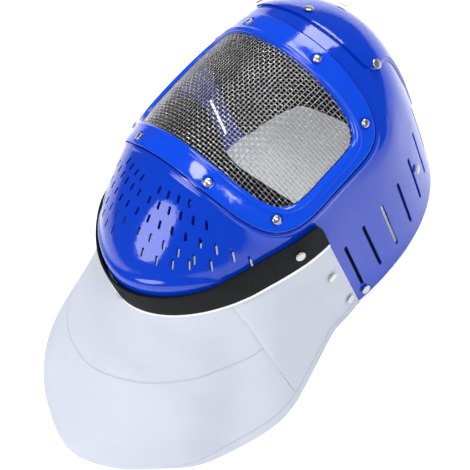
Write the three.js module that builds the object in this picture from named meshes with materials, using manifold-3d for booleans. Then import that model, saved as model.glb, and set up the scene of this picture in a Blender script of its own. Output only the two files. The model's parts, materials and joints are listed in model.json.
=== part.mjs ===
import * as THREE from 'three';
import { mergeVertices } from 'three/addons/utils/BufferGeometryUtils.js';
import Module from 'manifold-3d';

const wasm = await Module();
wasm.setup();

// Fencing mask lying on its back: millimetres, +X is the wearer's left, +Y is
// towards the crown, +Z is straight up out of the face. The rear rim is at z = 0.

// Main outline, seen from above
const halfWidth = 110;
const crownReach = 133;
const chinReach = 171;
const crownPower = 2.25;
const chinPower = 1.88;

// Face surface: a round front that runs on as a straight slope to each side
const faceHeight = 204;
const faceRadius = 85;
const faceRoundHalf = 63;
const browRadius = 415;

// Shell wall and the joint between the shell and the bezel
const shellWall = 2.4;
const seamHalfWidth = 99;
const seamTop = 68;
const seamBottom = 83;
const seamPower = 4.15;

// Window and its wire mesh
const bezelSideWidth = 10.5;
const bezelTopWidth = 23;
const bezelBottomWidth = 21;
const windowTopPower = 5.1;
const windowBottomPower = 4.6;
const meshMargin = 5;
const meshThickness = 1.2;
const bezelRise = 2;
const bezelDepth = 0.9;
const bezelRound = 3;

// Clearance between pieces that touch, and the groove round the bezel
const seatGap = 0.3;
const bezelGap = 0.9;

// Throat opening, webbing band and cloth bib
const throatHeight = 101.5;
const earFront = -66;
const bandWidth = 26;
const bandThickness = 1.8;
const bandEndAngle = -19.3;
const clothThickness = 1.5;
const bibEdgeAngle = -19;
const panelSeamAngle = -58.5;
const bibHemReach = 292;
const floorGap = 0.3;

// Slots
const sideSlotCount = 7;
const sideSlotStart = -12.6;
const sideSlotPitch = 23;
const sideSlotWidth = 3.4;
const sideSlotFoot = 17;
const sideSlotRise = 0.45;
const sideSlotLength = 60;
const muzzleSlotWidth = 2.2;
const muzzleSlotLength = 6;
const muzzleSlotStep = 5;

// Crown plate
const plateFront = 81;
const plateHalfWidth = 70;
const plateCorner = 12;
const plateTaper = 0.45;
const plateFoot = 62;
const plateRivetInset = 7;
const plateRivetReach = 38;
const plateThickness = 2;

// Fasteners
const screwHeadRadius = 3.6;
const screwHeadHeight = 1.8;
const rivetHeadRadius = 4.2;
const rivetHeadHeight = 1.7;
const shankRadius = 1.6;
const fastenerSides = 8;
const boreSides = 6;

// Rivets on the sides: direction, and height as a share of the throat's height
const sideRivets = {
  band: { at: -32 },
  bibUpper: { at: -25.2, rise: 0.6 },
  bibLower: { at: -23, rise: 0.165 },
  shellFront: { at: -12.5, rise: 0.09 },
  shellRear: { at: 38.5, rise: 0.57 },
};

// Foam lining
const padThickness = 9;
const padFoot = 1;
const browPadHalfAngle = 75;
const browPadRows = 7;
const crownPadSwell = 25;
const crownPadSpread = 45;
const jawPadRows = 2;
const jawPadEnd = 7.5;
const cheekPadRows = 7;
const cheekPadReach = 30;

// Steps round the mask and down its profile
const stations = 48;
const profileSteps = 8;
const bandRows = 3;
const clothRows = 4;
const cutDepth = 24;

// Profile of the shell from the bezel seam down to the rim, one row per direction
// seen from above (degrees, 90 is the crown and -90 the chin). out is a share of the
// way from the seam to the rim's outline, up a share of the seam's height.
const profiles = [
  { at: -90, out1: 0.31, up1: 0.934, out2: 0.645, up2: 0.837, out3: 0.87, up3: 0.733, out4: 0.978, up4: 0.6 },
  { at: -60, out1: 0.3, up1: 0.93, out2: 0.62, up2: 0.83, out3: 0.84, up3: 0.735, out4: 0.965, up4: 0.6 },
  { at: -30, out1: 0.12, up1: 0.93, out2: 0.55, up2: 0.78, out3: 0.8, up3: 0.6, out4: 0.93, up4: 0.3 },
  { at: 0, out1: 0.14, up1: 0.925, out2: 0.28, up2: 0.77, out3: 0.5, up3: 0.51, out4: 0.74, up4: 0.26 },
  { at: 30, out1: 0.58, up1: 0.93, out2: 0.81, up2: 0.83, out3: 0.89, up3: 0.55, out4: 0.96, up4: 0.25 },
  { at: 45, out1: 0.39, up1: 0.937, out2: 0.77, up2: 0.82, out3: 0.935, up3: 0.59, out4: 0.98, up4: 0.27 },
  { at: 60, out1: 0.38, up1: 0.945, out2: 0.775, up2: 0.815, out3: 0.95, up3: 0.556, out4: 1.0, up4: 0.24 },
  { at: 90, out1: 0.33, up1: 0.965, out2: 0.79, up2: 0.825, out3: 0.965, up3: 0.57, out4: 1.01, up4: 0.25 },
];

// Outline of the hem on the floor, one row per direction. reach is a share of the
// hem's reach in front of the chin, and belly how far the cloth swells between the band
// and the hem, as a share of its spread.
const hemRows = [
  { at: -90, reach: 0.99, belly: 0.27 },
  { at: -83, reach: 0.96, belly: 0.3 },
  { at: -76, reach: 0.915, belly: 0.31 },
  { at: -68, reach: 0.862, belly: 0.2 },
  { at: -60, reach: 0.775, belly: 0 },
  { at: -50, reach: 0.67, belly: 0 },
  { at: -41, reach: 0.52, belly: 0 },
  { at: -33, reach: 0.43, belly: 0 },
  { at: -24, reach: 0.4, belly: 0 },
  { at: -16, reach: 0.38, belly: 0 },
];

// The cloth's own grain leans forward between its top edge and the hem (degrees)
const leanRows = [
  { at: -90, lean: 0 },
  { at: -58.5, lean: 14 },
  { at: -19, lean: 1.5 },
];

// Soft folds of the bib: where they run, how wide they are and how deep at the hem
const folds = [
  { at: -34, width: 9, depth: 3 },
  { at: -72, width: 8, depth: -3 },
  { at: -103, width: 9, depth: -3.5 },
  { at: -121, width: 8, depth: 3 },
  { at: -143, width: 8, depth: -3 },
];

// Rows of slots on each cheek of the muzzle: reach is a share of the chin's, first the
// direction of the first slot off the middle (degrees)
const muzzleRows = [
  { reach: 0.594, first: 5.8, count: 4 },
  { reach: 0.65, first: 3.2, count: 6 },
  { reach: 0.716, first: 0, count: 1 },
  { reach: 0.716, first: 5.9, count: 8 },
  { reach: 0.778, first: 3.8, count: 6 },
  { reach: 0.842, first: 7.3, count: 4 },
];

// Screws of the bezel: their direction, and how far across the bezel they sit (share)
const screwSpots = [
  { at: -62.2, across: 0.64 },
  { at: -34.8, across: 0.5 },
  { at: 29.5, across: 0.63 },
  { at: 56.3, across: 0.5 },
];

const radians = THREE.MathUtils.degToRad;

// Rows of numbers, smooth between the rows and level at both ends
function smoothRows(rows, names) {
  const keys = rows.map((row) => row.at);
  const values = rows.flatMap((row) => names.map((name) => row[name]));
  const curve = new THREE.CubicInterpolant(keys, values, names.length);
  curve.settings = { endingStart: THREE.ZeroSlopeEnding, endingEnd: THREE.ZeroSlopeEnding };
  return (at) => Array.from(curve.evaluate(THREE.MathUtils.clamp(at, keys[0], keys[keys.length - 1])));
}

const shareNames = ['out1', 'up1', 'out2', 'up2', 'out3', 'up3', 'out4', 'up4'];
const profileShares = smoothRows(profiles, shareNames);
const hemShares = smoothRows(hemRows, ['reach', 'belly']);
const grainLean = smoothRows(leanRows, ['lean']);

// The mask is the same on both sides, so a direction on the right half stands for both
function rightHalf(angle) {
  return THREE.MathUtils.radToDeg(Math.asin(Math.sin(radians(angle))));
}

// Distance to an oval outline in one direction
function oval(angle, half, top, bottom, topPower, bottomPower) {
  const across = Math.abs(Math.cos(radians(angle)));
  const along = Math.sin(radians(angle));
  const reach = along > 0 ? top : bottom;
  const power = along > 0 ? topPower : bottomPower;
  return ((across / half) ** power + (Math.abs(along) / reach) ** power) ** (-1 / power);
}

const rimRadius = (angle) => oval(angle, halfWidth, crownReach, chinReach, crownPower, chinPower);
const seamRadius = (angle) => oval(angle, seamHalfWidth, seamTop, seamBottom, seamPower, seamPower);
const windowRadius = (angle) => oval(
  angle,
  seamHalfWidth - bezelSideWidth,
  seamTop - bezelTopWidth,
  seamBottom - bezelBottomWidth,
  windowTopPower,
  windowBottomPower,
);

// Face surface over a point of the plan
function faceZ(x, y) {
  const across = Math.abs(x);
  const edgeRise = Math.sqrt(faceRadius ** 2 - faceRoundHalf ** 2);
  const round = faceRadius - Math.sqrt(faceRadius ** 2 - Math.min(across, faceRoundHalf) ** 2);
  const slope = Math.max(across - faceRoundHalf, 0) * (faceRoundHalf / edgeRise);
  return faceHeight - round - slope - (y * y) / (2 * browRadius);
}

function facePoint(angle, radius, lift = 0) {
  const at = (x, y) => new THREE.Vector3(x, y, faceZ(x, y));
  const x = radius * Math.cos(radians(angle));
  const y = radius * Math.sin(radians(angle));
  const step = 0.5;
  const east = at(x + step, y).sub(at(x - step, y));
  const north = at(x, y + step).sub(at(x, y - step));
  return at(x, y).addScaledVector(east.cross(north).normalize(), lift);
}

// Shell surface: along is 0 at the bezel seam and 1 at the rim
function bareShell(angle, along) {
  const shares = profileShares(rightHalf(angle));
  const start = seamRadius(angle);
  const reach = rimRadius(angle) - start;
  const height = facePoint(angle, start).z;
  const values = [start, height];
  for (let i = 0; i < shares.length; i += 2) {
    values.push(start + reach * shares[i], height * shares[i + 1]);
  }
  values.push(start + reach, 0);
  const keys = values.filter((_, i) => i % 2 === 0).map((_, i, all) => i / (all.length - 1));
  const [radius, z] = new THREE.CubicInterpolant(keys, values, 2).evaluate(along);
  return new THREE.Vector3(radius * Math.cos(radians(angle)), radius * Math.sin(radians(angle)), z);
}

function shellNormal(angle, along) {
  const turn = 1;
  const slide = 0.01;
  const low = Math.max(along - slide, 0);
  const high = Math.min(along + slide, 1);
  const around = bareShell(angle + turn, along).sub(bareShell(angle - turn, along));
  const down = bareShell(angle, high).sub(bareShell(angle, low));
  return down.cross(around).normalize();
}

function shellPoint(angle, along, lift = 0) {
  return bareShell(angle, along).addScaledVector(shellNormal(angle, along), lift);
}

// Halving search for the place along the profile where a falling measure meets its goal
function findAlong(measure, goal) {
  let low = 0;
  let high = 1;
  for (let i = 0; i < 30; i += 1) {
    const middle = (low + high) / 2;
    if (measure(middle) > goal) {
      low = middle;
    } else {
      high = middle;
    }
  }
  return (low + high) / 2;
}

function alongAtHeight(angle, z) {
  return findAlong((along) => bareShell(angle, along).z, z);
}

function alongAtRadius(angle, radius) {
  const highest = 0.5;
  const measure = (share) => {
    const spot = bareShell(angle, share * highest);
    return -Math.hypot(spot.x, spot.y);
  };
  return findAlong(measure, -radius) * highest;
}

function wallPoint(angle, z, lift = 0) {
  return shellPoint(angle, alongAtHeight(angle, z), lift);
}

// Meshes and solids

function meshFromPoints(points, triangles) {
  const geometry = new THREE.BufferGeometry();
  geometry.setAttribute('position', new THREE.Float32BufferAttribute(points.flatMap((p) => [p.x, p.y, p.z]), 3));
  geometry.setIndex(triangles);
  return geometry;
}

// A closed band of rings: each ring runs round the section, the rings run round the mask
function ringSolid(rings) {
  const count = rings[0].length;
  const triangles = [];
  rings.forEach((_, i) => {
    const next = (i + 1) % rings.length;
    for (let j = 0; j < count; j += 1) {
      const k = (j + 1) % count;
      triangles.push(i * count + j, next * count + k, i * count + k);
      triangles.push(i * count + j, next * count + j, next * count + k);
    }
  });
  return solidFrom(meshFromPoints(rings.flat(), triangles));
}

// A curved sheet with thickness over a grid of directions and levels:
// place(angle, level, side) gives both faces, side 0 below and 1 above
function slabSolid(angles, levels, place) {
  const columns = angles.length - 1;
  const rows = levels.length - 1;
  const points = [0, 1].flatMap((side) => angles.flatMap(
    (angle) => levels.map((level) => place(angle, level, side)),
  ));
  const layer = (columns + 1) * (rows + 1);
  const index = (i, j, side) => side * layer + i * (rows + 1) + j;
  const triangles = [];
  const quad = (a, b, c, d) => triangles.push(a, b, c, a, c, d);
  for (let i = 0; i < columns; i += 1) {
    for (let j = 0; j < rows; j += 1) {
      quad(index(i, j, 1), index(i + 1, j, 1), index(i + 1, j + 1, 1), index(i, j + 1, 1));
      quad(index(i, j, 0), index(i, j + 1, 0), index(i + 1, j + 1, 0), index(i + 1, j, 0));
    }
    quad(index(i, 0, 0), index(i + 1, 0, 0), index(i + 1, 0, 1), index(i, 0, 1));
    quad(index(i, rows, 1), index(i + 1, rows, 1), index(i + 1, rows, 0), index(i, rows, 0));
  }
  for (let j = 0; j < rows; j += 1) {
    quad(index(0, j, 1), index(0, j + 1, 1), index(0, j + 1, 0), index(0, j, 0));
    quad(index(columns, j, 0), index(columns, j + 1, 0), index(columns, j + 1, 1), index(columns, j, 1));
  }
  return solidFrom(meshFromPoints(points, triangles));
}

// The faces of a closed mesh are turned to point out before it becomes a solid
function solidFrom(geometry) {
  const bare = geometry.index ? geometry : mergeVertices(geometry);
  bare.deleteAttribute('normal');
  bare.deleteAttribute('uv');
  const merged = mergeVertices(bare, 1e-4);
  const points = merged.attributes.position.array;
  const corners = Array.from(merged.index.array);
  const spot = (i) => new THREE.Vector3(points[3 * i], points[3 * i + 1], points[3 * i + 2]);
  let volume = 0;
  for (let i = 0; i < corners.length; i += 3) {
    volume += spot(corners[i]).dot(spot(corners[i + 1]).cross(spot(corners[i + 2])));
  }
  if (volume < 0) {
    for (let i = 0; i < corners.length; i += 3) {
      [corners[i + 1], corners[i + 2]] = [corners[i + 2], corners[i + 1]];
    }
  }
  return new wasm.Manifold(new wasm.Mesh({
    numProp: 3, vertProperties: new Float32Array(points), triVerts: new Uint32Array(corners),
  }));
}

function geometryFrom(solid) {
  const { vertProperties, triVerts } = solid.getMesh();
  const geometry = new THREE.BufferGeometry();
  geometry.setAttribute('position', new THREE.BufferAttribute(new Float32Array(vertProperties), 3));
  geometry.setIndex(Array.from(triVerts));
  geometry.computeVertexNormals();
  return geometry;
}

// Places a shape whose own +Z is to run along a normal, with its +Y near a given direction
function stand(geometry, spot, normal, upright) {
  const z = normal.clone().normalize();
  const x = upright.clone().cross(z).normalize();
  const y = z.clone().cross(x);
  const placed = geometry.index ? geometry.toNonIndexed() : geometry.clone();
  placed.deleteAttribute('normal');
  placed.deleteAttribute('uv');
  placed.applyMatrix4(new THREE.Matrix4().makeBasis(x, y, z).setPosition(spot));
  return solidFrom(mergeVertices(placed, 1e-4));
}

const materials = {
  shell: new THREE.MeshStandardMaterial({ color: 0x0f3ce6, roughness: 0.16, metalness: 0 }),
  bezel: new THREE.MeshStandardMaterial({ color: 0x1440e8, roughness: 0.14, metalness: 0 }),
  wire: new THREE.MeshStandardMaterial({ color: 0xc9ccd2, roughness: 0.32, metalness: 1 }),
  webbing: new THREE.MeshStandardMaterial({ color: 0x0c0d0f, roughness: 0.85, metalness: 0 }),
  cloth: new THREE.MeshStandardMaterial({ color: 0xdee2ee, roughness: 0.9, metalness: 0 }),
  foam: new THREE.MeshStandardMaterial({ color: 0x0a0a0b, roughness: 0.95, metalness: 0 }),
  steel: new THREE.MeshStandardMaterial({ color: 0xc4c6c8, roughness: 0.25, metalness: 1 }),
};

const mask = new THREE.Group();

function addPiece(name, solid, material) {
  const piece = new THREE.Mesh(geometryFrom(solid), materials[material].clone());
  piece.name = name;
  mask.add(piece);
}

// Depths below the face surface, from the bezel down through the mesh to the shell's seat
const meshTop = -bezelDepth - seatGap;
const meshBottom = meshTop - meshThickness;
const seatLevel = meshBottom - seatGap;
const seatFloor = seatLevel - shellWall;

// Edge of the wire mesh, on the straight seat between the window and the seam
function meshEdge(angle, level) {
  const window = windowRadius(angle);
  const seam = seamRadius(angle);
  return facePoint(angle, window, level).lerp(facePoint(angle, seam, level), meshMargin / (seam - window));
}

// The wall is as deep as the seat at the seam and thins to its own thickness below it
function wallDepth(along) {
  return THREE.MathUtils.lerp(-seatFloor, shellWall, Math.min(along * 3, 1));
}

// Face shell: seat under the bezel, step at the seam, then the outer wall to the rim
function shellRing(angle) {
  const ring = [
    facePoint(angle, windowRadius(angle), seatLevel),
    meshEdge(angle, seatLevel),
    facePoint(angle, seamRadius(angle), seatLevel),
  ];
  const inner = [];
  for (let j = 0; j <= profileSteps; j += 1) {
    const along = j / profileSteps;
    ring.push(shellPoint(angle, along));
    const spot = shellPoint(angle, along, -wallDepth(along));
    if (j === profileSteps) {
      spot.z = 0;
    }
    inner.unshift(spot);
  }
  return [...ring, ...inner, facePoint(angle, windowRadius(angle), seatFloor)];
}

const stationAngles = Array.from({ length: stations }, (_, i) => (360 * i) / stations);

// Directions between two angles in whole steps, so that layers share their facets
function anglesBetween(from, to, step) {
  const inner = [];
  for (let i = Math.ceil(from / step); i * step < to; i += 1) {
    if (i * step - from > step / 8 && to - i * step > step / 8) {
      inner.push(i * step);
    }
  }
  return [from, ...inner, to];
}

function evenLevels(low, high, count) {
  return Array.from({ length: count + 1 }, (_, i) => THREE.MathUtils.lerp(low, high, i / count));
}

const coarseStep = 360 / stations;
const fineStep = coarseStep / 2;

function boxSolid(low, high) {
  const size = high.clone().sub(low);
  const box = new THREE.BoxGeometry(size.x, size.y, size.z);
  box.translate(low.x + size.x / 2, low.y + size.y / 2, low.z + size.z / 2);
  return solidFrom(mergeVertices(stripped(box)));
}

function stripped(geometry) {
  const bare = geometry.index ? geometry.toNonIndexed() : geometry.clone();
  bare.deleteAttribute('normal');
  bare.deleteAttribute('uv');
  return bare;
}

// Slots are cut by a plain bar that stands across the wall
function slotCutter(spot, normal, upright, width, length) {
  return stand(new THREE.BoxGeometry(width, length, cutDepth), spot, normal, upright);
}

const up = new THREE.Vector3(0, 0, 1);

function sideSlots() {
  const cutters = [];
  let angle = sideSlotStart;
  for (let i = 0; i < sideSlotCount; i += 1) {
    const middle = sideSlotFoot + sideSlotRise * i * i + sideSlotLength / 2;
    for (const side of [angle, 180 - angle]) {
      const along = alongAtHeight(side, middle);
      const normal = shellNormal(side, along).setZ(0);
      const spot = shellPoint(side, along);
      cutters.push(slotCutter(spot, normal, up, sideSlotWidth, sideSlotLength));
    }
    const here = wallPoint(angle, middle);
    while (here.distanceTo(wallPoint(angle, middle)) < sideSlotPitch) {
      angle += 0.1;
    }
  }
  return cutters;
}

// The cheek slots run straight up through the wall, as the mould's pins leave them
function muzzleSlots() {
  const cutters = [];
  for (const row of muzzleRows) {
    for (let i = 0; i < row.count; i += 1) {
      const turn = row.first + i * muzzleSlotStep;
      for (const angle of [-90 + turn, -90 - turn]) {
        const spot = shellPoint(angle, alongAtRadius(angle, chinReach * row.reach));
        const outward = spot.clone().setZ(0);
        cutters.push(slotCutter(spot, up, outward, muzzleSlotWidth, muzzleSlotLength));
      }
    }
  }
  return cutters;
}

// Screws and rivets: a domed head on a short shank, closed on its axis
function fastenerShape({ kind, hold }) {
  const [radius, height] = kind === 'screw' ? [screwHeadRadius, screwHeadHeight] : [rivetHeadRadius, rivetHeadHeight];
  const reach = hold + seatGap;
  const profile = [
    new THREE.Vector2(0, -reach),
    new THREE.Vector2(shankRadius, -reach),
    new THREE.Vector2(shankRadius, 0),
    new THREE.Vector2(radius, 0),
    new THREE.Vector2(radius * 0.82, height * 0.62),
    new THREE.Vector2(0, height),
  ];
  return new THREE.LatheGeometry(profile, fastenerSides).rotateX(Math.PI / 2);
}

function boreCutter(spot, normal) {
  const radius = (shankRadius + seatGap) / Math.cos(Math.PI / boreSides);
  const bore = new THREE.CylinderGeometry(radius, radius, cutDepth, boreSides);
  return stand(bore.rotateX(Math.PI / 2), spot, normal, up);
}

function faceFastener(name, angle, across) {
  const radius = THREE.MathUtils.lerp(windowRadius(angle), seamRadius(angle), across);
  const spot = facePoint(angle, radius, bezelRise + seatGap);
  const normal = facePoint(angle, radius, 1).sub(facePoint(angle, radius));
  return { name, spot, normal, kind: 'screw', hold: bezelRise + bezelDepth };
}

function shellFastener(name, angle, along, layer) {
  const spot = shellPoint(angle, along, layer.top + seatGap);
  return { name, spot, normal: shellNormal(angle, along), kind: 'rivet', hold: layer.hold };
}

function planFastener(name, x, y, layer) {
  const angle = THREE.MathUtils.radToDeg(Math.atan2(y, x));
  return shellFastener(name, angle, alongAtRadius(angle, Math.hypot(x, y)), layer);
}

function wallFastener(name, angle, z, layer) {
  return shellFastener(name, angle, alongAtHeight(angle, z), layer);
}

const mirrored = (angle, sign) => (sign > 0 ? angle : 180 - angle);

function sideFastener(name, place, sign) {
  return wallFastener(name, mirrored(place.at, sign), place.rise * throatHeight, shellLayer);
}

function clothFastener(name, place, sign) {
  const angle = mirrored(place.at, sign);
  const drop = 1 - place.rise;
  const step = 0.02;
  const around = bibPoint(angle + 1, drop, 1).sub(bibPoint(angle - 1, drop, 1));
  const down = bibPoint(angle, drop + step, 1).sub(bibPoint(angle, drop - step, 1));
  const normal = down.cross(around).normalize();
  const spot = bibPoint(angle, drop, 1).addScaledVector(normal, 2 * seatGap);
  return { name, spot, normal, kind: 'rivet', hold: clothThickness };
}

const bothSides = (make) => [['left', 1], ['right', -1]].flatMap(([side, sign]) => make(side, sign));

// Seats of the fasteners, read from the pieces that they hold
const bezelScrews = screwSpots.flatMap((spot, i) => [
  faceFastener(`bezel_screw_${2 * i + 1}`, spot.at, spot.across),
  faceFastener(`bezel_screw_${2 * i + 2}`, 180 - spot.at, spot.across),
]);

// What each rivet holds: the top of the layer above the shell, and how thick it is
const bandLift = clothThickness + 2 * seatGap;
const bandLayer = { top: bandLift + bandThickness, hold: bandThickness };
const plateLayer = { top: seatGap + plateThickness, hold: plateThickness };
const shellLayer = { top: 0, hold: shellWall };

const bandMiddle = throatHeight + bandWidth / 2;
const crownRivets = [
  planFastener('crown_rivet_front', 0, plateFront + plateRivetInset, plateLayer),
  planFastener('crown_rivet_rear', 0, plateFront + plateRivetReach, plateLayer),
  ...bothSides((side, sign) => [
    planFastener(
      `crown_rivet_${side}`, sign * (plateHalfWidth - plateRivetInset), plateFront + plateRivetInset, plateLayer,
    ),
  ]),
];
const bandRivets = [
  wallFastener('band_rivet_front', -90, bandMiddle, bandLayer),
  ...bothSides((side, sign) => [
    wallFastener(`band_rivet_${side}`, mirrored(sideRivets.band.at, sign), bandMiddle, bandLayer),
  ]),
];
const clothRivets = bothSides((side, sign) => [
  clothFastener(`bib_rivet_upper_${side}`, sideRivets.bibUpper, sign),
  clothFastener(`bib_rivet_lower_${side}`, sideRivets.bibLower, sign),
]);
const shellRivets = bothSides((side, sign) => [
  sideFastener(`shell_rivet_front_${side}`, sideRivets.shellFront, sign),
  sideFastener(`shell_rivet_rear_${side}`, sideRivets.shellRear, sign),
]);

const boresOf = (fasteners) => fasteners.map((one) => boreCutter(one.spot, one.normal));

function cutAll(solid, cutters) {
  return solid.subtract(wasm.Manifold.union(cutters));
}

function faceShell() {
  const body = ringSolid(stationAngles.map(shellRing));
  const throat = boxSolid(
    new THREE.Vector3(-2 * halfWidth, -2 * chinReach, -cutDepth),
    new THREE.Vector3(2 * halfWidth, earFront, throatHeight),
  );
  return cutAll(body, [throat, ...sideSlots(), ...muzzleSlots(), ...boresOf(shellRivets)]);
}

// Bezel: a raised ring round the window with rounded edges
function bezelRing(angle) {
  const inner = windowRadius(angle);
  const outer = seamRadius(angle) - bezelGap;
  return [
    facePoint(angle, outer, -bezelDepth),
    facePoint(angle, outer, bezelRise / 3),
    facePoint(angle, outer - bezelRound, bezelRise),
    facePoint(angle, inner + bezelRound, bezelRise),
    facePoint(angle, inner, bezelRise / 3),
    facePoint(angle, inner, -bezelDepth),
    meshEdge(angle, -bezelDepth),
  ];
}

function windowBezel() {
  return cutAll(ringSolid(stationAngles.map(bezelRing)), boresOf(bezelScrews));
}

// Wire mesh: one curved plate here, held between the shell's seat and the bezel
function wireMesh() {
  const rings = [
    (angle, level) => facePoint(angle, 0.5 * windowRadius(angle), level),
    (angle, level) => facePoint(angle, windowRadius(angle), level),
    meshEdge,
  ];
  const points = [];
  for (const level of [meshTop, meshBottom]) {
    points.push(facePoint(0, 0, level));
    for (const ring of rings) {
      stationAngles.forEach((angle) => points.push(ring(angle, level)));
    }
  }
  const layer = 1 + rings.length * stations;
  const triangles = [];
  for (let side = 0; side < 2; side += 1) {
    const index = (ring, i) => side * layer + 1 + ring * stations + (i % stations);
    const face = (a, b, c) => triangles.push(...(side === 0 ? [a, b, c] : [a, c, b]));
    for (let i = 0; i < stations; i += 1) {
      face(side * layer, index(0, i), index(0, i + 1));
      for (let ring = 0; ring < rings.length - 1; ring += 1) {
        face(index(ring, i), index(ring + 1, i), index(ring + 1, i + 1));
        face(index(ring, i), index(ring + 1, i + 1), index(ring, i + 1));
      }
    }
  }
  for (let i = 0; i < stations; i += 1) {
    const top = 1 + (rings.length - 1) * stations;
    const a = top + i;
    const b = top + ((i + 1) % stations);
    triangles.push(a, a + layer, b + layer, a, b + layer, b);
  }
  return solidFrom(meshFromPoints(points, triangles));
}

// Crown plate: follows the crown, with a straight front edge, round front corners and
// sides that draw in towards the back
function crownPlate() {
  const spread = 7 * coarseStep;
  const steps = 6;
  const sheet = slabSolid(
    anglesBetween(90 - spread, 90 + spread, coarseStep),
    evenLevels(0, steps / profileSteps, steps),
    (angle, along, side) => shellPoint(angle, along, seatGap + side * plateThickness),
  );
  const outline = new THREE.Shape();
  const back = crownReach + cutDepth;
  const rearHalf = plateHalfWidth - plateTaper * (back - plateFront);
  const lean = Math.atan(plateTaper);
  const side = plateHalfWidth - plateCorner;
  outline.moveTo(-rearHalf, back);
  outline.absarc(-side, plateFront + plateCorner, plateCorner, Math.PI - lean, 1.5 * Math.PI);
  outline.absarc(side, plateFront + plateCorner, plateCorner, 1.5 * Math.PI, 2 * Math.PI + lean);
  outline.lineTo(rearHalf, back);
  outline.closePath();
  const template = new THREE.ExtrudeGeometry(outline, { depth: faceHeight, bevelEnabled: false, curveSegments: 3 });
  template.translate(0, 0, plateFoot);
  return cutAll(sheet.intersect(solidFrom(mergeVertices(stripped(template)))), boresOf(crownRivets));
}

// Webbing band round the chin, over the top edge of the cloth
function chinBand() {
  const body = slabSolid(
    anglesBetween(-180 - bandEndAngle, bandEndAngle, fineStep),
    evenLevels(throatHeight, throatHeight + bandWidth, bandRows),
    (angle, z, side) => wallPoint(angle, z, bandLift + side * bandThickness),
  );
  return cutAll(body, boresOf(bandRivets));
}

function foldDepth(angle) {
  const bump = (fold) => fold.depth * Math.exp(-(((angle - fold.at) / fold.width) ** 2));
  return folds.reduce((sum, fold) => sum + bump(fold), 0);
}

// Bib surface: drop is below 0 under the band, 0 at its lower edge and 1 at the hem
const clothTuck = bandWidth / bandRows;

function bibPoint(topAngle, drop, side) {
  const lift = seatGap + side * clothThickness;
  if (drop <= 0) {
    return wallPoint(topAngle, throatHeight - clothTuck * drop, lift);
  }
  const sign = Math.cos(radians(topAngle)) < 0 ? -1 : 1;
  const angle = topAngle + sign * grainLean(rightHalf(topAngle))[0] * drop;
  const top = wallPoint(angle, throatHeight, lift);
  const wall = Math.hypot(top.x, top.y);
  const [reachShare, bellyShare] = hemShares(rightHalf(angle));
  const spread = bibHemReach * reachShare - wall;
  const belly = bellyShare * spread * Math.sin(Math.PI * drop ** 1.5);
  const radius = wall + spread * drop + belly + foldDepth(angle) * drop + side * clothThickness * drop;
  const z = THREE.MathUtils.lerp(throatHeight, floorGap, drop) + side * clothThickness * Math.sin(Math.PI * drop);
  const wallHere = wallPoint(angle, Math.max(z, 1), lift);
  const clear = Math.max(radius, Math.hypot(wallHere.x, wallHere.y));
  return new THREE.Vector3(clear * Math.cos(radians(angle)), clear * Math.sin(radians(angle)), z);
}

function bibPanel(from, to) {
  return slabSolid(anglesBetween(from, to, fineStep), [-1, ...evenLevels(0, 1, clothRows)], bibPoint);
}

// Foam lining: strips that follow the inside of the shell, from the second row down
function foamStrip(from, to, rows, swell = () => 0) {
  const levels = evenLevels((1 + rows) / profileSteps, 1 / profileSteps, rows);
  return slabSolid(anglesBetween(from, to, coarseStep), levels, (angle, along, side) => {
    const depth = side * (padThickness + swell(angle, along));
    const spot = shellPoint(angle, along, -wallDepth(along) - seatGap - depth);
    spot.z = Math.max(spot.z, padFoot);
    return spot;
  });
}

// The brow pad grows thicker towards the middle of the crown's rim
function crownSwell(angle, along) {
  const away = Math.min(Math.abs(angle - 90) / crownPadSpread, 1);
  return crownPadSwell * Math.cos(away * Math.PI / 2) * along ** 2;
}

// The jaw pad is a narrow strip round the chin that reaches the rim at both cheeks
function jawPad() {
  return wasm.Manifold.union([
    foamStrip(-180 - jawPadEnd, jawPadEnd, jawPadRows),
    foamStrip(-180 - jawPadEnd, -180 + cheekPadReach, cheekPadRows),
    foamStrip(-cheekPadReach, jawPadEnd, cheekPadRows),
  ]);
}

addPiece('face_shell', faceShell(), 'shell');
addPiece('wire_mesh', wireMesh(), 'wire');
addPiece('window_bezel', windowBezel(), 'bezel');
addPiece('crown_plate', crownPlate(), 'shell');
addPiece('chin_band', chinBand(), 'webbing');
const seamGapAngle = 0.16;
addPiece('bib_front', cutAll(
  bibPanel(-180 - panelSeamAngle + seamGapAngle, panelSeamAngle - seamGapAngle), boresOf(bandRivets),
), 'cloth');
addPiece('bib_side_left', cutAll(
  bibPanel(panelSeamAngle, bibEdgeAngle), boresOf([...clothRivets, ...bandRivets]),
), 'cloth');
addPiece('bib_side_right', cutAll(
  bibPanel(-180 - bibEdgeAngle, -180 - panelSeamAngle), boresOf([...clothRivets, ...bandRivets]),
), 'cloth');
addPiece('brow_pad', foamStrip(90 - browPadHalfAngle, 90 + browPadHalfAngle, browPadRows, crownSwell), 'foam');
addPiece('jaw_pad', jawPad(), 'foam');

for (const one of [...bezelScrews, ...crownRivets, ...bandRivets, ...clothRivets, ...shellRivets]) {
  addPiece(one.name, stand(fastenerShape(one), one.spot, one.normal, up), 'steel');
}

export default mask;
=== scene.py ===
import json
import math

import bpy
import numpy as np
from mathutils import Matrix, Vector

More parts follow.
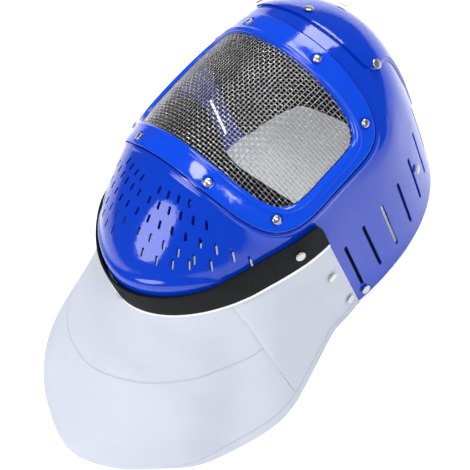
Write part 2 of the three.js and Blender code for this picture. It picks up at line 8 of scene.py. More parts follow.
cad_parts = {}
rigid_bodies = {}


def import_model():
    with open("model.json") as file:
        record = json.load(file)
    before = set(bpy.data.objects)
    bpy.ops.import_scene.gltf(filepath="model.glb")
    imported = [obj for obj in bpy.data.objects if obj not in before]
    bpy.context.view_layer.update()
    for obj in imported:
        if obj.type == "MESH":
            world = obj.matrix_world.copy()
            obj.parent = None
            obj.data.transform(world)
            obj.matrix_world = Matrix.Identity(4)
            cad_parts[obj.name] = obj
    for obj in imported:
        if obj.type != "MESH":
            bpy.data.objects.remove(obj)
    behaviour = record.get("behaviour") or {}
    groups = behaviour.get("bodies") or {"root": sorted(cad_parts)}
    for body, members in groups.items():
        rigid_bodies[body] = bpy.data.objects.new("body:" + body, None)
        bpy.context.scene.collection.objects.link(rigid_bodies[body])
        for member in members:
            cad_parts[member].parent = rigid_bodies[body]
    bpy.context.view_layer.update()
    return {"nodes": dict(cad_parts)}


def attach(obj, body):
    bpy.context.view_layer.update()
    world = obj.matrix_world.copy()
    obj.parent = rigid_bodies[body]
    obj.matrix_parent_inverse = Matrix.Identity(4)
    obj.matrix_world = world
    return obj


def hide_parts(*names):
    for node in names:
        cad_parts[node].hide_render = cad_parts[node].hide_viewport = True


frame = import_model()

bpy.ops.object.select_all(action="DESELECT")
sceneObjects = bpy.context.scene.collection.objects
print("frame loaded, pieces:", len(frame["nodes"]))

# Shape numbers are in millimetres and degrees, as the mask lies on its back with the
# face up; meshes are in metres
maskForm = {
    "rimHalf": 110, "rimCrown": 133, "rimChin": 171, "rimCrownPower": 2.25, "rimChinPower": 1.88,
    "faceTop": 204, "faceRound": 85, "faceRoundHalf": 63, "browRound": 415,
    "seamHalf": 99, "seamCrown": 68, "seamChin": 83, "seamPower": 4.15,
    "windowHalf": 88.5, "windowCrown": 45, "windowChin": 62,
    "windowCrownPower": 5.1, "windowChinPower": 4.6,
    "shellWall": 2.4, "seatGap": 0.3, "throatHeight": 101.5, "earFront": -66,
}


# Smooth curve through the values at the keys, with level ends or straight ones
def smoothAt(keys, at, valueAt, straight=False):
    last = len(keys) - 1
    at = np.clip(at, keys[0], keys[-1])
    high = np.clip(np.searchsorted(keys, at, side="right"), 1, last)
    low = high - 1
    step = keys[high] - keys[low]
    endStep = -step if straight else step
    backStep = np.where(low > 0, keys[low] - keys[np.maximum(low - 1, 0)], endStep)
    nextStep = np.where(high < last, keys[np.minimum(high + 1, last)] - keys[high], endStep)
    start = valueAt(low)
    end = valueAt(high)
    before = np.where((low > 0)[:, None], valueAt(np.maximum(low - 1, 0)), end)
    after = np.where((high < last)[:, None], valueAt(np.minimum(high + 1, last)), start if straight else end)
    back = (step / 2 / backStep)[:, None]
    ahead = (step / 2 / nextStep)[:, None]
    p = ((at - keys[low]) / step)[:, None]
    square = p * p
    cube = square * p
    backPart = -back * cube + 2 * back * square - back * p
    startPart = (1 + back) * cube + (-1.5 - 2 * back) * square + (-0.5 + back) * p + 1
    endPart = (-1 - ahead) * cube + (1.5 + ahead) * square + 0.5 * p
    aheadPart = ahead * cube - ahead * square
    return backPart * before + startPart * start + endPart * end + aheadPart * after


def smoothTable(table):
    rows = np.array(table, dtype=float)
    return lambda at: smoothAt(rows[:, 0], at, lambda index: rows[index, 1:])


# Directions seen from above, then how far out and how high each knot of the wall is
profileShares = smoothTable([
    [-90, 0.31, 0.934, 0.645, 0.837, 0.87, 0.733, 0.978, 0.6],
    [-60, 0.3, 0.93, 0.62, 0.83, 0.84, 0.735, 0.965, 0.6],
    [-30, 0.12, 0.93, 0.55, 0.78, 0.8, 0.6, 0.93, 0.3],
    [0, 0.14, 0.925, 0.28, 0.77, 0.5, 0.51, 0.74, 0.26],
    [30, 0.58, 0.93, 0.81, 0.83, 0.89, 0.55, 0.96, 0.25],
    [45, 0.39, 0.937, 0.77, 0.82, 0.935, 0.59, 0.98, 0.27],
    [60, 0.38, 0.945, 0.775, 0.815, 0.95, 0.556, 1.0, 0.24],
    [90, 0.33, 0.965, 0.79, 0.825, 0.965, 0.57, 1.01, 0.25],
])


def rightHalf(angle):
    return np.degrees(np.arcsin(np.clip(np.sin(np.radians(angle)), -1, 1)))


def ovalRadius(angle, half, crown, chin, crownPower, chinPower):
    across = np.abs(np.cos(np.radians(angle)))
    along = np.sin(np.radians(angle))
    reach = np.where(along > 0, crown, chin)
    power = np.where(along > 0, crownPower, chinPower)
    return ((across / half) ** power + (np.abs(along) / reach) ** power) ** (-1 / power)


def rimRadius(angle):
    f = maskForm
    return ovalRadius(angle, f["rimHalf"], f["rimCrown"], f["rimChin"], f["rimCrownPower"], f["rimChinPower"])


def seamRadius(angle):
    f = maskForm
    return ovalRadius(angle, f["seamHalf"], f["seamCrown"], f["seamChin"], f["seamPower"], f["seamPower"])


def windowRadius(angle):
    f = maskForm
    powers = (f["windowCrownPower"], f["windowChinPower"])
    return ovalRadius(angle, f["windowHalf"], f["windowCrown"], f["windowChin"], *powers)


def faceOver(x, y, lift):
    f = maskForm
    across = np.abs(x)
    inner = np.minimum(across, f["faceRoundHalf"])
    edgeRise = math.sqrt(f["faceRound"] ** 2 - f["faceRoundHalf"] ** 2)
    slope = inner / np.sqrt(f["faceRound"] ** 2 - inner ** 2)
    drop = f["faceRound"] - np.sqrt(f["faceRound"] ** 2 - inner ** 2)
    drop = drop + np.maximum(across - f["faceRoundHalf"], 0) * f["faceRoundHalf"] / edgeRise
    z = f["faceTop"] - drop - y * y / (2 * f["browRound"])
    normal = np.stack([np.sign(x) * slope, y / f["browRound"], np.ones_like(x)], axis=1)
    normal /= np.linalg.norm(normal, axis=1)[:, None]
    return np.stack([x, y, z], axis=1) + normal * np.reshape(lift, (-1, 1))


def facePoint(angle, radius, lift=0.0):
    turn = np.radians(angle)
    return faceOver(radius * np.cos(turn), radius * np.sin(turn), np.asarray(lift, float))


def bareShell(angle, along):
    shares = profileShares(rightHalf(angle))
    start = seamRadius(angle)
    reach = rimRadius(angle) - start
    height = facePoint(angle, start)[:, 2]
    outs = [start] + [start + reach * shares[:, i] for i in (0, 2, 4, 6)] + [start + reach]
    ups = [height] + [height * shares[:, i] for i in (1, 3, 5, 7)] + [0 * height]
    knots = np.stack([np.stack(outs, axis=1), np.stack(ups, axis=1)], axis=2)
    row = np.arange(len(angle))
    out, up = smoothAt(np.linspace(0, 1, 6), along, lambda index: knots[row, index], straight=True).T
    turn = np.radians(angle)
    return np.stack([out * np.cos(turn), out * np.sin(turn), up], axis=1)


def shellNormal(angle, along):
    around = bareShell(angle + 1, along) - bareShell(angle - 1, along)
    down = bareShell(angle, np.minimum(along + 0.01, 1)) - bareShell(angle, np.maximum(along - 0.01, 0))
    normal = np.cross(down, around)
    return normal / np.linalg.norm(normal, axis=1)[:, None]


def shellPoint(angle, along, lift=0.0):
    return bareShell(angle, along) + shellNormal(angle, along) * np.reshape(lift, (-1, 1))


# How far down the wall its points still pass the test
def alongWhere(angle, furthest, test):
    low = np.zeros(len(angle))
    high = np.full(len(angle), furthest)
    for _ in range(24):
        middle = (low + high) / 2
        passed = test(bareShell(angle, middle))
        low = np.where(passed, middle, low)
        high = np.where(passed, high, middle)
    return (low + high) / 2


def alongAtHeight(angle, height):
    return alongWhere(angle, 1.0, lambda spot: spot[:, 2] > height)


def alongAtRadius(angle, radius):
    return alongWhere(angle, 0.5, lambda spot: np.hypot(spot[:, 0], spot[:, 1]) < radius)


def wallPoint(angle, height, lift=0.0):
    return shellPoint(angle, alongAtHeight(angle, height), lift)


def one(value):
    return np.array([float(value)])


# Mesh helpers
def spotsOf(piece):
    spots = np.empty(len(piece.data.vertices) * 3)
    piece.data.vertices.foreach_get("co", spots)
    return spots.reshape(-1, 3)


def gridSheet(name, columns, rows, place):
    bpy.ops.object.select_all(action="DESELECT")
    bpy.ops.mesh.primitive_grid_add(x_subdivisions=columns, y_subdivisions=rows, size=2, location=(0, 0, 0))
    piece = bpy.context.active_object
    piece.name = name
    piece.data.name = name
    spots = spotsOf(piece)
    placed = place((spots[:, 0] + 1) / 2, (spots[:, 1] + 1) / 2)
    piece.data.vertices.foreach_set("co", (placed * 0.001).ravel())
    piece.data.update()
    return piece


def pick(piece):
    bpy.ops.object.select_all(action="DESELECT")
    piece.select_set(True)
    bpy.context.view_layer.objects.active = piece


def editMode(select="SELECT"):
    bpy.ops.object.mode_set(mode="EDIT")
    bpy.ops.mesh.select_all(action=select)


def objectMode():
    bpy.ops.object.mode_set(mode="OBJECT")


def closeUp(piece, gap=0.00002, caps=False):
    pick(piece)
    editMode()
    bpy.ops.mesh.remove_doubles(threshold=gap)
    if caps:
        bpy.ops.mesh.fill_holes(sides=0)
    bpy.ops.mesh.normals_make_consistent(inside=False)
    objectMode()


def useModifier(piece, kind, **values):
    pick(piece)
    modifier = piece.modifiers.new(kind.title(), kind)
    for key, value in values.items():
        setattr(modifier, key, value)
    bpy.ops.object.modifier_apply(modifier=modifier.name)


def joinAll(pieces):
    bpy.ops.object.select_all(action="DESELECT")
    for piece in pieces:
        piece.select_set(True)
    bpy.context.view_layer.objects.active = pieces[0]
    bpy.ops.object.join()
    return pieces[0]


def discard(piece):
    bpy.data.objects.remove(piece, do_unlink=True)


def cutWith(piece, cutter, how="DIFFERENCE"):
    useModifier(piece, "BOOLEAN", operation=how, object=cutter, solver="MANIFOLD")
    discard(cutter)


def addBox(middle, sides):
    bpy.ops.object.select_all(action="DESELECT")
    bpy.ops.mesh.primitive_cube_add(
        size=1, location=[0.001 * value for value in middle], scale=[0.001 * value for value in sides])
    bpy.ops.object.transform_apply(location=True, rotation=False, scale=True)
    return bpy.context.active_object


# Rounds the edges whose two ends pass the test
def bevelEdges(piece, test, offset, segments):
    editMode("DESELECT")
    objectMode()
    for edge in piece.data.edges:
        low, high = (piece.data.vertices[i].co * 1000 for i in edge.vertices)
        edge.select = test(low, high)
    bpy.ops.object.mode_set(mode="EDIT")
    bpy.ops.mesh.bevel(offset=offset * 0.001, segments=segments)
    objectMode()


def smooth(piece, angle):
    pick(piece)
    bpy.ops.object.shade_smooth_by_angle(angle=math.radians(angle))


def standing(spot, normal, upright):
    z = Vector(normal).normalized()
    x = Vector(upright).cross(z).normalized()
    y = z.cross(x)
    turn = Matrix((x, y, z)).transposed().to_4x4()
    return Matrix.Translation(Vector(spot) * 0.001) @ turn


def copyOf(master, name, place):
    piece = master.copy()
    piece.data = master.data.copy()
    piece.name = name
    piece.data.name = name
    sceneObjects.link(piece)
    piece.data.transform(place)
    return piece


def settle(piece, material, nodes=()):
    piece.data.materials.clear()
    piece.data.materials.append(material)
    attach(piece, "root")
    if nodes:
        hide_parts(*nodes)


# Materials
class Finish:
    def __init__(self, name):
        self.material = bpy.data.materials.new(name)
        self.material.use_nodes = True
        self.tree = self.material.node_tree
        self.shader = self.tree.nodes["Principled BSDF"]
        self.coordinates = None

    def node(self, kind, **values):
        made = self.tree.nodes.new(kind)
        for key, value in values.items():
            setattr(made, key, value)
        return made

    def fill(self, made, **values):
        for key, value in values.items():
            made.inputs[key.replace("_", " ")].default_value = value
        return made

    def link(self, start, end):
        self.tree.links.new(start, end)

    def place(self):
        if self.coordinates is None:
            self.coordinates = self.node("ShaderNodeTexCoord")
        return self.coordinates.outputs["Object"]

    def noise(self, scale, detail=3.0):
        made = self.fill(self.node("ShaderNodeTexNoise"), Scale=scale, Detail=detail, Roughness=0.5)
        self.link(self.place(), made.inputs["Vector"])
        return made.outputs["Fac"]

    def ramp(self, source, stops):
        made = self.node("ShaderNodeValToRGB")
        elements = made.color_ramp.elements
        while len(elements) < len(stops):
            elements.new(0.5)
        for element, (position, colour) in zip(elements, stops):
            element.position = position
            element.color = (*colour, 1)
        self.link(source, made.inputs["Fac"])
        return made.outputs["Color"]

    def math(self, how, first, second=None):
        made = self.node("ShaderNodeMath", operation=how)
        for socket, value in zip(made.inputs, (first, second)):
            if value is None:
                continue
            if isinstance(value, (int, float)):
                socket.default_value = value
            else:
                self.link(value, socket)
        return made.outputs[0]

    def wave(self, source, pitch):
        return self.math("SINE", self.math("MULTIPLY", source, 2 * math.pi / pitch))

    def span(self, source, low, high, start, end):
        made = self.fill(
            self.node("ShaderNodeMapRange"), From_Min=low, From_Max=high, To_Min=start, To_Max=end)
        self.link(source, made.inputs["Value"])
        return made.outputs["Result"]

    def attribute(self, name):
        made = self.node("ShaderNodeAttribute", attribute_name=name)
        return made.outputs["Fac"]

    def bump(self, height, distance, strength=1.0, after=None):
        made = self.fill(self.node("ShaderNodeBump"), Distance=distance, Strength=strength)
        self.link(height, made.inputs["Height"])
        if after is not None:
            self.link(after, made.inputs["Normal"])
        return made.outputs["Normal"]

    def set(self, **values):
        self.fill(self.shader, **values)

    def wire(self, **sources):
        for key, source in sources.items():
            self.link(source, self.shader.inputs[key.replace("_", " ")])


def mouldedPlastic(name, deep, bright):
    finish = Finish(name)
    cloud = finish.noise(7.0, 2.0)
    colour = finish.ramp(cloud, [(0.3, deep), (0.7, bright)])
    peel = finish.noise(140.0, 2.0)
    grain = finish.noise(900.0, 2.0)
    flow = finish.bump(peel, 0.00045, 0.35)
    finish.wire(
        Base_Color=colour,
        Roughness=finish.span(grain, 0.3, 0.7, 0.07, 0.12),
        Normal=finish.bump(grain, 0.00001, 0.25, flow),
    )
    finish.set(IOR=1.46, Coat_Weight=0.12, Coat_Roughness=0.05)
    return finish.material


shellBlue = mouldedPlastic("shellBlue", (0.0006, 0.038, 0.48), (0.0008, 0.045, 0.54))
bezelBlue = mouldedPlastic("bezelBlue", (0.0012, 0.056, 0.64), (0.0014, 0.066, 0.7))


def brightMetal(name, colour, rough):
    finish = Finish(name)
    drawn = finish.noise(2200.0, 3.0)
    patch = finish.noise(60.0, 2.0)
    dark = tuple(0.72 * part for part in colour)
    finish.wire(
        Base_Color=finish.ramp(patch, [(0.25, dark), (0.6, colour)]),
        Roughness=finish.span(drawn, 0.3, 0.7, rough * 0.8, rough * 1.3),
        Normal=finish.bump(drawn, 0.00001, 0.4),
    )
    finish.set(Metallic=1.0)
    return finish.material


wireSteel = brightMetal("wireSteel", (0.62, 0.62, 0.61), 0.24)
nickelPlate = brightMetal("nickelPlate", (0.56, 0.555, 0.54), 0.28)

# Webbing in millimetres
webbingBuild = {"ribPitch": 1.25, "yarnPitch": 0.9}


def ribbedWebbing(name):
    finish = Finish(name)
    length = finish.attribute("alongBand")
    across = finish.attribute("acrossBand")
    rib = finish.wave(length, webbingBuild["ribPitch"])
    yarn = finish.wave(across, webbingBuild["yarnPitch"])
    weave = finish.math("ADD", rib, finish.math("MULTIPLY", yarn, 0.3))
    fuzz = finish.noise(1500.0, 3.0)
    # The rib wave drives both the bump and the colour: the troughs between the ribs are painted darker than
    # the crests, painted shade
    shade = finish.span(weave, -1.3, 1.3, 0, 1)
    ribBump = finish.bump(shade, 0.00035, 0.9)
    finish.wire(
        Base_Color=finish.ramp(shade, [(0.2, (0.0012, 0.0012, 0.0016)), (0.9, (0.0075, 0.008, 0.0105))]),
        Normal=finish.bump(fuzz, 0.0001, 0.5, ribBump),
        Roughness=finish.span(fuzz, 0.3, 0.7, 0.6, 0.8),
    )
    finish.set(Specular_IOR_Level=0.2)
    return finish.material


webbingBlack = ribbedWebbing("webbingBlack")

# Cloth in millimetres: twill, stitches and the long creases that cross it
clothBuild = {
    "warpPitch": 0.8, "weftPitch": 2.4, "stitch": 2.8, "groove": 1.1,
    "creasePitch": 46, "creaseSway": 60.0, "creaseDepth": 1.1,
}


def bibCotton(name, shadeTone, lightTone):
    c = clothBuild
    finish = Finish(name)
    along = finish.attribute("acrossCloth")
    down = finish.attribute("downCloth")
    seam = finish.math("ABSOLUTE", finish.attribute("seamLine"))
    hem = finish.math("ABSOLUTE", finish.attribute("hemLine"))
    warp = finish.wave(finish.math("ADD", along, down), c["warpPitch"])
    weft = finish.wave(finish.math("SUBTRACT", along, down), c["weftPitch"])
    twill = finish.math("ADD", finish.math("MULTIPLY", warp, 0.6), finish.math("MULTIPLY", weft, 0.2))
    line = finish.math("MINIMUM", seam, hem)
    groove = finish.span(line, 0.0, c["groove"], 0.0, 1.0)
    dash = finish.wave(along, c["stitch"])
    thread = finish.math(
        "MULTIPLY", finish.span(line, 0.25, 0.5, 1.0, 0.0), finish.span(dash, -0.3, 0.1, 0.0, 1.0))
    nap = finish.noise(700.0, 3.0)
    soft = finish.noise(16.0, 3.0)
    tone = finish.ramp(soft, [(0.3, shadeTone), (0.7, lightTone)])
    # The base colour is the cloth's tone made 15% darker along the seam and hem lines: painted shade in their
    # grooves
    shade = finish.node("ShaderNodeMix", data_type="RGBA", blend_type="MULTIPLY")
    shade.inputs["Factor"].default_value = 1.0
    finish.link(tone, shade.inputs["A"])
    finish.link(finish.ramp(groove, [(0.0, (0.85, 0.85, 0.86)), (1.0, (1, 1, 1))]), shade.inputs["B"])
    relief = finish.bump(finish.span(twill, -0.8, 0.8, 0, 1), 0.00012, 0.5)
    relief = finish.bump(groove, 0.0005, 0.8, relief)
    relief = finish.bump(thread, 0.0003, 0.8, relief)
    slope = finish.math("ADD", finish.math("MULTIPLY", along, 0.6), finish.math("MULTIPLY", down, 0.8))
    sway = finish.math("MULTIPLY", finish.noise(9.0, 2.0), c["creaseSway"])
    crease = finish.wave(finish.math("ADD", slope, sway), c["creasePitch"])
    where = finish.span(finish.noise(6.0, 1.0), 0.45, 0.62, 0.0, 1.0)
    relief = finish.bump(finish.math("MULTIPLY", crease, where), c["creaseDepth"] * 0.001, 0.8, relief)
    finish.wire(
        Base_Color=shade.outputs["Result"],
        Normal=finish.bump(nap, 0.0001, 0.35, relief),
        Roughness=finish.span(nap, 0.3, 0.7, 0.82, 0.95),
    )
    finish.set(Sheen_Weight=0.12, Sheen_Roughness=0.5)
    return finish.material


clothWhite = bibCotton("clothWhite", (0.585, 0.615, 0.71), (0.625, 0.65, 0.74))
# The same cotton painted far lighter for the rolled edge: a painted highlight
edgeHighlightWhite = bibCotton("edgeHighlightWhite", (0.9, 0.9, 0.92), (0.95, 0.95, 0.96))


def closedFoam(name):
    finish = Finish(name)
    pores = finish.fill(finish.node("ShaderNodeTexVoronoi"), Scale=900.0)
    finish.link(finish.place(), pores.inputs["Vector"])
    soft = finish.noise(40.0, 3.0)
    finish.wire(
        Base_Color=finish.ramp(soft, [(0.3, (0.002, 0.002, 0.003)), (0.7, (0.006, 0.006, 0.008))]),
        Normal=finish.bump(pores.outputs["Distance"], 0.0003, 0.6),
        Roughness=finish.span(soft, 0.3, 0.7, 0.85, 0.97),
    )
    finish.set(Specular_IOR_Level=0.15)
    return finish.material


foamBlack = closedFoam("foamBlack")
print("materials made")

# Camera, floor and light
cameraView = {
    "spot": (0.5566, -0.2745, 0.8914),
    "right": (0.6896, 0.6642, -0.2886),
    "up": (-0.4822, 0.7185, 0.5013),
    "back": (0.5404, -0.2066, 0.8157),
    "lens": 90.17,
}
cameraData = bpy.data.cameras.new("photoCamera")
cameraData.lens = cameraView["lens"]
photoCamera = bpy.data.objects.new("photoCamera", cameraData)
sceneObjects.link(photoCamera)
turned = Matrix((cameraView["right"], cameraView["up"], cameraView["back"])).transposed().to_4x4()
photoCamera.matrix_world = Matrix.Translation(cameraView["spot"]) @ turned
bpy.context.scene.camera = photoCamera

bpy.ops.mesh.primitive_plane_add(size=12, location=(0, 0, -0.0002))
floor = bpy.context.active_object
floor.name = "paleFloor"
floorFinish = Finish("paleFloor")
floorTone = floorFinish.noise(1.5, 2.0)
floorFinish.wire(Base_Color=floorFinish.ramp(floorTone, [(0.3, (0.88, 0.9, 0.9)), (0.7, (0.9, 0.92, 0.92))]))
floorFinish.set(Roughness=0.85, Emission_Color=(1, 1, 1, 1), Emission_Strength=0.32)
floor.data.materials.append(floorFinish.material)

lightRig = [
    # name, shape, spot, aim, width, height, power
    ("crownSoftbox", "RECTANGLE", (-0.25, 1.75, 1.85), (0, 0, 0.1), 1.3, 0.9, 36),
    ("chinSoftbox", "ELLIPSE", (-0.25, -2.1, 1.55), (0, -0.1, 0.15), 1.6, 1.45, 37),
    ("overSoftbox", "RECTANGLE", (0.05, -0.15, 2.6), (0, -0.1, 0.1), 0.55, 0.9, 22),
    ("earSoftbox", "RECTANGLE", (1.75, 0.15, 2.0), (0, 0, 0.1), 0.5, 1.4, 12),
    ("beadSoftbox", "RECTANGLE", (1.55, 0.02, 1.8), (0, 0, 0.1), 0.22, 0.8, 5),
]

for name, shape, spot, aim, width, height, power in lightRig:
    lamp = bpy.data.lights.new(name, "AREA")
    lamp.shape = shape
    lamp.size = width
    lamp.size_y = height
    lamp.energy = power
    light = bpy.data.objects.new(name, lamp)
    sceneObjects.link(light)
    light.location = spot
    light.rotation_euler = (Vector(aim) - Vector(spot)).to_track_quat("-Z", "Y").to_euler()

# The room is dim where it lights the mask and white where it is seen past the floor
skyLight = {"colour": (0.96, 0.98, 1.0, 1), "lit": 0.15, "seen": 0.9}
world = bpy.data.worlds.new("studio")
bpy.context.scene.world = world
world.use_nodes = True
skyTree = world.node_tree
skyShader = skyTree.nodes["Background"]
skyShader.inputs["Color"].default_value = skyLight["colour"]
skyRay = skyTree.nodes.new("ShaderNodeLightPath")
skyStrength = skyTree.nodes.new("ShaderNodeMath")
skyStrength.operation = "MULTIPLY_ADD"
skyStrength.inputs[1].default_value = skyLight["seen"]
skyStrength.inputs[2].default_value = skyLight["lit"]
skyTree.links.new(skyRay.outputs["Is Camera Ray"], skyStrength.inputs[0])
skyTree.links.new(skyStrength.outputs[0], skyShader.inputs["Strength"])
bpy.context.scene.view_settings.view_transform = "Standard"
print("camera, floor and lights set")

# Face shell: seat under the bezel, lip of the seam, outer wall, rim and inner wall
shellBuild = {
    "columns": 300, "outerRows": 86, "innerRows": 36, "lipRound": 0.7,
    "seatLevel": -2.7, "seatFloor": -5.1, "seatShare": 1 / 3, "rimLift": 0.3,
    # first rows of the outer wall as shares of its length, then how the rest crowd towards the lip
    "lipRows": (0.0009, 0.003), "rowPower": 1.4, "lipSink": 0.28,
    "ridge": 0.9, "ridgeAway": 2.2, "ridgeWide": 1.9, "ridgeEnd": 130, "ridgeFade": 25,
    "slotDepth": 24, "slotEnds": 0.45,
    "ventWidth": 3.4, "ventLength": 60, "ventFoot": 17, "ventRise": 0.45, "ventPitch": 23,
    "ventStart": -12.6, "ventStep": 0.2, "ventCount": 7,
    "cheekWidth": 2.2, "cheekLength": 6, "cheekStep": 5,
    "throatWide": 500, "throatLong": 400, "throatBelow": 20,
}

# Rows of cheek slots: reach as a share of the chin's, direction of the first, how many
cheekRows = [
    (0.594, 5.8, 4), (0.65, 3.2, 6), (0.716, 0, 1), (0.716, 5.9, 8), (0.778, 3.8, 6), (0.842, 7.3, 4),
]


def wallDepth(along):
    deep = -shellBuild["seatFloor"]
    return deep + (maskForm["shellWall"] - deep) * np.minimum(along / shellBuild["seatShare"], 1)


def shellSection():
    s = shellBuild
    start = s["lipRows"][-1]
    rows = [("seat", 0.0), ("seat", 0.5), ("seat", 1.0), ("lip", -s["lipRound"])]
    rows += [("outer", share) for share in s["lipRows"]]
    for i in range(1, s["outerRows"] + 1):
        rows.append(("outer", start + (1 - 2 * start) * (i / s["outerRows"]) ** s["rowPower"]))
    rows += [("rim", 0.3), ("rim", 0.7)]
    rows += [("inner", 1 - i / s["innerRows"]) for i in range(s["innerRows"] + 1)]
    rows += [("floor", 1.0), ("floor", 0.0)]
    return rows


sectionRows = shellSection()


def browLip(angle, along):
    s = shellBuild
    start = bareShell(angle, 0 * along)
    away = np.linalg.norm(bareShell(angle, along) - start, axis=1)
    around = np.abs((angle + 270) % 360 - 180)
    fade = np.clip((s["ridgeEnd"] - around) / s["ridgeFade"], 0, 1)
    return s["ridge"] * fade * np.exp(-((away - s["ridgeAway"]) / s["ridgeWide"]) ** 2)


def placeShell(across, down):
    s = shellBuild
    angle = -360 * across
    index = np.rint(down * len(sectionRows)).astype(int) % len(sectionRows)
    spots = np.zeros((len(across), 3))
    for number, (kind, value) in enumerate(sectionRows):
        chosen = index == number
        turn = angle[chosen]
        if kind == "seat":
            radius = windowRadius(turn) + (seamRadius(turn) - windowRadius(turn)) * value
            spots[chosen] = facePoint(turn, radius, s["seatLevel"])
        elif kind == "lip":
            spots[chosen] = facePoint(turn, seamRadius(turn), value)
        elif kind == "outer":
            along = np.full(len(turn), value)
            lift = browLip(turn, along) - (s["lipSink"] if value == s["lipRows"][0] else 0)
            spots[chosen] = shellPoint(turn, along, lift)
        elif kind == "rim":
            along = np.ones(len(turn))
            spot = shellPoint(turn, along, -maskForm["shellWall"] * value)
            spot[:, 2] = 0
            spots[chosen] = spot
        elif kind == "inner":
            along = np.full(len(turn), value)
            spot = shellPoint(turn, along, -wallDepth(along))
            if value == 1:
                spot[:, 2] = s["rimLift"]
            spots[chosen] = spot
        else:
            radius = windowRadius(turn)
            if value > 0.5:
                radius = windowRadius(turn) * 0.5 + seamRadius(turn) * 0.5
            spots[chosen] = facePoint(turn, radius, s["seatFloor"])
    return spots


faceShell = gridSheet("faceShell", shellBuild["columns"], len(sectionRows), placeShell)
closeUp(faceShell)


def slotBar(width, length):
    s = shellBuild
    bar = addBox((0, 0, 0), (width, length, s["slotDepth"]))
    bevelEdges(bar, lambda low, high: abs(low.z - high.z) > s["slotDepth"] / 2, width * s["slotEnds"], 4)
    return bar


def ventCutters():
    s = shellBuild
    bar = slotBar(s["ventWidth"], s["ventLength"])
    cutters = []
    angle = s["ventStart"]
    for i in range(s["ventCount"]):
        middle = s["ventFoot"] + s["ventRise"] * i * i + s["ventLength"] / 2
        for side in (angle, 180 - angle):
            along = alongAtHeight(one(side), middle)
            normal = shellNormal(one(side), along)[0]
            normal[2] = 0
            spot = shellPoint(one(side), along)[0]
            cutters.append(copyOf(bar, "ventCutter", standing(spot, normal, (0, 0, 1))))
        here = wallPoint(one(angle), middle)[0]
        while np.linalg.norm(here - wallPoint(one(angle), middle)[0]) < s["ventPitch"]:
            angle += s["ventStep"]
    discard(bar)
    return cutters


def cheekCutters():
    s = shellBuild
    bar = slotBar(s["cheekWidth"], s["cheekLength"])
    cutters = []
    for reach, first, count in cheekRows:
        for i in range(count):
            turn = first + i * s["cheekStep"]
            for angle in sorted({-90 + turn, -90 - turn}):
                along = alongAtRadius(one(angle), maskForm["rimChin"] * reach)
                spot = shellPoint(one(angle), along)[0]
                outward = (spot[0], spot[1], 0)
                cutters.append(copyOf(bar, "cheekCutter", standing(spot, (0, 0, 1), outward)))
    discard(bar)
    return cutters


def throatCutter():
    s = shellBuild
    top = maskForm["throatHeight"]
    below = s["throatBelow"]
    middle = (0, maskForm["earFront"] - s["throatLong"] / 2, (top - below) / 2)
    return addBox(middle, (s["throatWide"], s["throatLong"], top + below))


cutWith(faceShell, joinAll([throatCutter()] + ventCutters() + cheekCutters()))
smooth(faceShell, 32)
settle(faceShell, shellBlue, ["face_shell"])
print("face shell made:", len(faceShell.data.polygons), "faces")

# Window bezel: crowned ring with soft edges and a round recess for each screw
bezelBuild = {
    "columns": 288, "flat": 1.5, "depth": 0.9, "gap": 0.9, "edge": 0.9, "margin": 5, "beadFoot": 6.6,
    "crownRise": 0.08, "recessRadius": 5.3, "recessDepth": 1.1, "recessRound": 0.7, "cutterHeight": 6,
    # distance from the window's edge and height, from the bead's foot inwards
    "bead": [
        (6.6, 1.5), (5.9, 1.56), (5.3, 1.8), (4.6, 2.1), (3.7, 2.28), (2.7, 2.2), (1.8, 1.85), (1.0, 1.3),
        (0.4, 0.6), (0.08, 0.0),
    ],
}
# Screws of the left half: direction, and how far out between the window's edge and the seam
screwSpots = [(-62.2, 0.64), (-34.8, 0.5), (29.5, 0.63), (56.3, 0.5)]


def bezelSection():
    b = bezelBuild
    rows = [("wall", 0.0, -b["depth"]), ("wall", 0.0, 0.2)]
    for i in range(5):
        turn = math.radians(90 * i / 4)
        level = b["flat"] + b["edge"] * (math.sin(turn) - 1)
        rows.append(("outerEdge", b["edge"] * (1 - math.cos(turn)), level))
    rows += [("across", share, b["flat"] + b["crownRise"]) for share in (0.3, 0.7)]
    for away, level in b["bead"]:
        rows.append(("innerEdge", away, level))
    rows += [("innerEdge", 0.0, -b["depth"]), ("seat", 0.0, -b["depth"])]
    return rows


bezelRows = bezelSection()


def placeBezel(across, down):
    b = bezelBuild
    angle = -360 * across
    index = np.rint(down * len(bezelRows)).astype(int) % len(bezelRows)
    outer = seamRadius(angle) - b["gap"]
    inner = windowRadius(angle)
    spots = np.zeros((len(across), 3))
    for number, (kind, share, level) in enumerate(bezelRows):
        chosen = index == number
        if kind in ("wall", "outerEdge"):
            radius = outer - share
        elif kind == "innerEdge":
            radius = inner + share
        elif kind == "across":
            radius = outer - b["edge"] + (inner + b["beadFoot"] - outer + b["edge"]) * share
        else:
            radius = inner + b["margin"]
        spots[chosen] = facePoint(angle[chosen], radius[chosen], level)
    return spots


windowBezel = gridSheet("windowBezel", bezelBuild["columns"], len(bezelRows), placeBezel)
closeUp(windowBezel)


def screwSeats():
    seats = []
    for i, (angle, across) in enumerate(screwSpots):
        for j, side in enumerate((angle, 180 - angle)):
            radius = windowRadius(one(side)) * (1 - across) + seamRadius(one(side)) * across
            low = facePoint(one(side), radius, 0.0)[0]
            high = facePoint(one(side), radius, 1.0)[0]
            seats.append((f"bezel_screw_{2 * i + j + 1}", low, high - low))
    return seats


